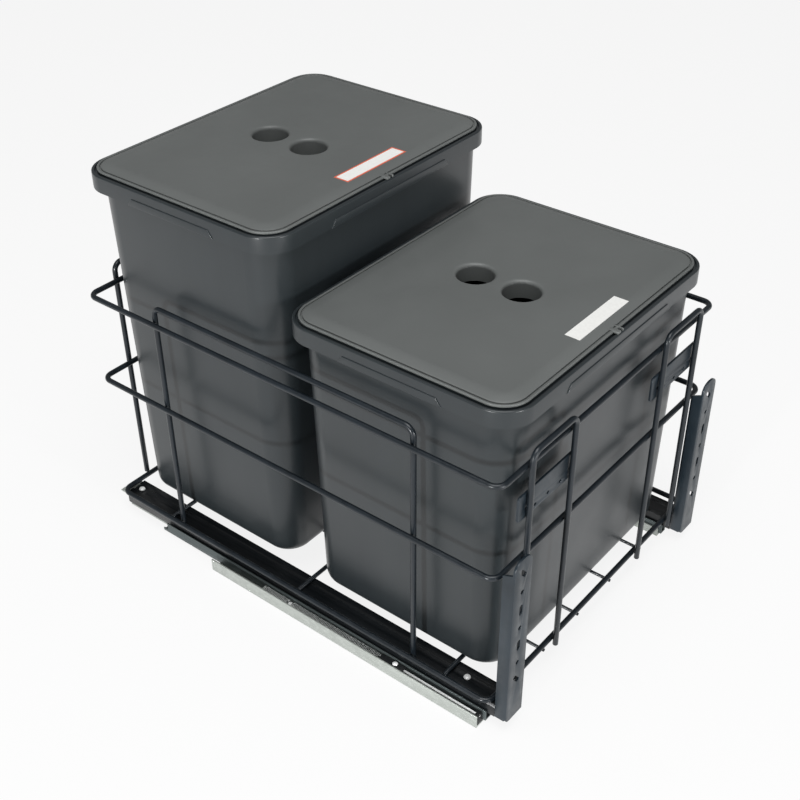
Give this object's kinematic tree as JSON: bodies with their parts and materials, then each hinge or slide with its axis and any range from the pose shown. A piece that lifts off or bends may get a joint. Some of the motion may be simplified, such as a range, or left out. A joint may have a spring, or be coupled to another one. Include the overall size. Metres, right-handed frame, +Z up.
{
  "type": "pull-out waste bin unit",
  "caption": "Pull-out waste unit for a base cabinet: lidded bins in a coated wire basket on full-extension floor slides, with brackets that carry the cabinet door.",
  "frame": {"origin": "on the cabinet floor, in the middle of the unit's overall width and depth with the tray pushed in", "axes": "+X to the right seen from the room, +Y into the cabinet, +Z up; the tray pulls out along -Y"},
  "size_m": [0.344, 0.4706, 0.3709],
  "materials": {
    "galvanised_steel": "zinc-coated sheet, satin",
    "bright_steel": "bright zinc",
    "rail_steel": "satin grey coating",
    "frame_coating": "anthracite powder coating, semi-gloss",
    "carrier_coating": "black powder coating, semi-gloss",
    "housing_plastic": "black, matt",
    "cage_steel": "pressed strip with steel balls",
    "bin_plastic": "anthracite grey, glossy moulded",
    "lid_plastic": "mid grey, fine satin grain"
  },
  "bodies": {
    "cabinet_rails": {"left_cabinet_rail": "galvanised_steel", "right_cabinet_rail": "galvanised_steel", "left_damper_housing": "housing_plastic", "right_damper_housing": "housing_plastic", "left_damper_rod": "bright_steel", "right_damper_rod": "bright_steel", "left_damper_screw": "bright_steel", "right_damper_screw": "bright_steel", "left_closing_spring": "bright_steel", "right_closing_spring": "bright_steel", "left_return_spring": "bright_steel", "right_return_spring": "bright_steel", "left_spring_catch": "bright_steel", "right_spring_catch": "bright_steel", "left_rail_rivet": "bright_steel", "right_rail_rivet": "bright_steel"},
    "middle_rails": {"left_middle_rail": "rail_steel", "right_middle_rail": "rail_steel"},
    "lower_cages": {"left_lower_ball_cage": "cage_steel", "right_lower_ball_cage": "cage_steel"},
    "upper_cages": {"left_outer_ball_strip": "cage_steel", "left_inner_ball_strip": "cage_steel", "right_outer_ball_strip": "cage_steel", "right_inner_ball_strip": "cage_steel"},
    "tray": {"left_inner_rail": "galvanised_steel", "right_inner_rail": "galvanised_steel", "left_carrier": "carrier_coating", "right_carrier": "carrier_coating", "left_door_bracket": "frame_coating", "right_door_bracket": "frame_coating", "left_front_screw": "bright_steel", "right_front_screw": "bright_steel", "left_rear_screw": "bright_steel", "right_rear_screw": "bright_steel", "base_ring": "frame_coating", "lower_ring": "frame_coating", "upper_ring": "frame_coating", "back_hoop": "frame_coating", "left_side_hoop": "frame_coating", "right_side_hoop": "frame_coating", "left_front_hoop": "frame_coating", "right_front_hoop": "frame_coating", "left_door_plate": "frame_coating", "right_door_plate": "frame_coating", "front_cross_wire": "frame_coating", "middle_cross_wire": "frame_coating", "rear_cross_wire": "frame_coating", "far_left_floor_wire": "frame_coating", "near_left_floor_wire": "frame_coating", "near_right_floor_wire": "frame_coating", "far_right_floor_wire": "frame_coating"},
    "rear_bin": {"rear_bin": "bin_plastic"},
    "front_bin": {"front_bin": "bin_plastic"},
    "rear_lid": {"rear_lid": "lid_plastic"},
    "front_lid": {"front_lid": "lid_plastic"}
  },
  "joints": [
    {"name": "tray_slide", "type": "slide", "parent": "cabinet_rails", "child": "tray", "axis": [0, -1, 0], "range_m": [0, 0.41]},
    {"name": "middle_slide", "type": "slide", "parent": "cabinet_rails", "child": "middle_rails", "axis": [0, -1, 0], "range_m": [0, 0.205]},
    {"name": "lower_cage_roll", "type": "slide", "parent": "cabinet_rails", "child": "lower_cages", "axis": [0, -1, 0], "range_m": [0, 0.1025]},
    {"name": "upper_cage_roll", "type": "slide", "parent": "cabinet_rails", "child": "upper_cages", "axis": [0, -1, 0], "range_m": [0, 0.3075]},
    {"name": "rear_bin_lift", "type": "slide", "parent": "tray", "child": "rear_bin", "axis": [0, 0, 1], "range_m": [0, 0.36]},
    {"name": "front_bin_lift", "type": "slide", "parent": "tray", "child": "front_bin", "axis": [0, 0, 1], "range_m": [0, 0.36]},
    {"name": "rear_lid_lift", "type": "slide", "parent": "rear_bin", "child": "rear_lid", "axis": [0, 0, 1], "range_m": [0, 0.12]},
    {"name": "front_lid_lift", "type": "slide", "parent": "front_bin", "child": "front_lid", "axis": [0, 0, 1], "range_m": [0, 0.12]}
  ],
  "couplings": [
    {"joint": "middle_slide", "follows": "tray_slide", "ratio": 0.5},
    {"joint": "lower_cage_roll", "follows": "tray_slide", "ratio": 0.25},
    {"joint": "upper_cage_roll", "follows": "tray_slide", "ratio": 0.75}
  ]
}
